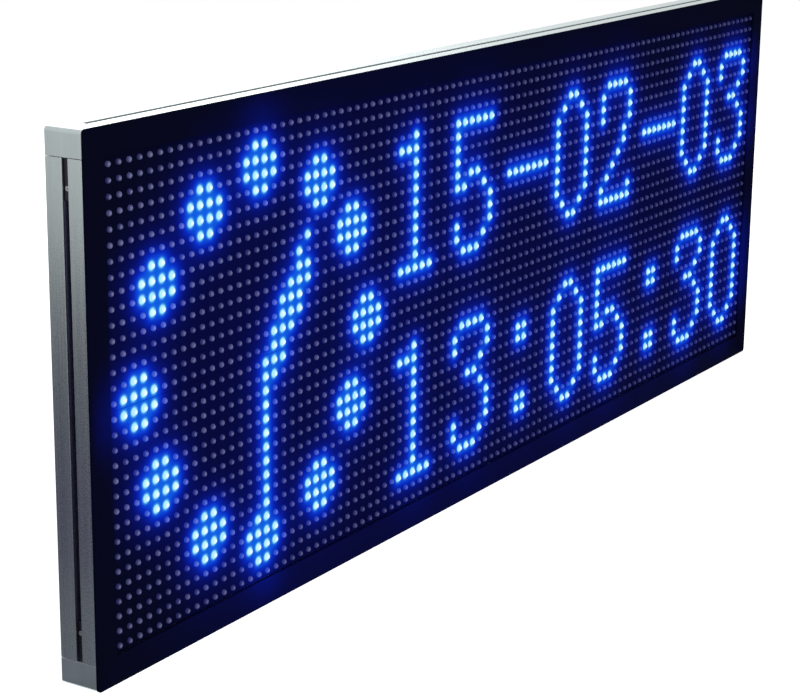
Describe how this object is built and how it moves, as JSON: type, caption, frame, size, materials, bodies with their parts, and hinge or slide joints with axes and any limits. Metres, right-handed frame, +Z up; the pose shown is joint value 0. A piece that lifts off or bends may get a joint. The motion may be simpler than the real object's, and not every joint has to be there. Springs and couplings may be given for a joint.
{
  "type": "led sign",
  "caption": "Slim indoor LED matrix sign in a slotted aluminium frame, its round blue lamps showing a clock face, a date line and a time line.",
  "frame": {"origin": "middle of the base, on the surface that the sign stands on", "axes": "+X along the sign to the viewer's right, lamps face -Y, +Z up"},
  "size_m": [0.998, 0.03, 0.358],
  "materials": {
    "rail_aluminium": "satin anodised",
    "corner_casting": "satin",
    "bezel_black": "matte",
    "board_black": "matte",
    "lamp_dark": "diffused lens",
    "lamp_lit": "diffused lens",
    "shell_plastic": "moulded",
    "crossbar_sheet": "mill",
    "chip_black": "moulded",
    "header_black": "moulded",
    "socket_nylon": "moulded",
    "ribbon_grey": "flat cable",
    "loom_red": "insulation",
    "supply_case": "folded sheet",
    "card_green": "solder mask",
    "standoff_brass": "turned",
    "cover_black": "fine-texture powder coat",
    "grommet_rubber": "moulded",
    "screw_steel": "zinc plated"
  },
  "bodies": {
    "root": {"rail_top": "rail_aluminium", "rail_bottom": "rail_aluminium", "rail_left": "rail_aluminium", "rail_right": "rail_aluminium", "corner_top_left": "corner_casting", "corner_top_right": "corner_casting", "corner_bottom_left": "corner_casting", "corner_bottom_right": "corner_casting", "bezel_top": "bezel_black", "bezel_bottom": "bezel_black", "bezel_left": "bezel_black", "bezel_right": "bezel_black", "board_1": "board_black", "board_2": "board_black", "board_3": "board_black", "board_4": "board_black", "board_5": "board_black", "board_6": "board_black", "lamps_dark_1": "lamp_dark", "lamps_dark_2": "lamp_dark", "lamps_dark_3": "lamp_dark", "lamps_dark_4": "lamp_dark", "lamps_dark_5": "lamp_dark", "lamps_dark_6": "lamp_dark", "lamps_lit_1": "lamp_lit", "lamps_lit_2": "lamp_lit", "lamps_lit_3": "lamp_lit", "lamps_lit_4": "lamp_lit", "lamps_lit_5": "lamp_lit", "lamps_lit_6": "lamp_lit", "shell_1": "shell_plastic", "shell_2": "shell_plastic", "shell_3": "shell_plastic", "shell_4": "shell_plastic", "shell_5": "shell_plastic", "shell_6": "shell_plastic", "crossbar_1": "crossbar_sheet", "crossbar_2": "crossbar_sheet", "crossbar_3": "crossbar_sheet", "crossbar_4": "crossbar_sheet", "driver_chips": "chip_black", "ribbon_headers": "header_black", "power_sockets": "socket_nylon", "ribbon_jumpers": "ribbon_grey", "row_ribbons": "ribbon_grey", "power_loom": "loom_red", "power_supply": "supply_case", "supply_terminals": "header_black", "control_card": "card_green", "card_parts": "chip_black", "card_standoffs": "standoff_brass", "back_cover": "cover_black", "mains_grommet": "grommet_rubber", "corner_screws": "screw_steel", "module_screws": "screw_steel", "foot_screws": "screw_steel", "cover_screws": "screw_steel", "supply_screws": "screw_steel"}
  },
  "joints": []
}
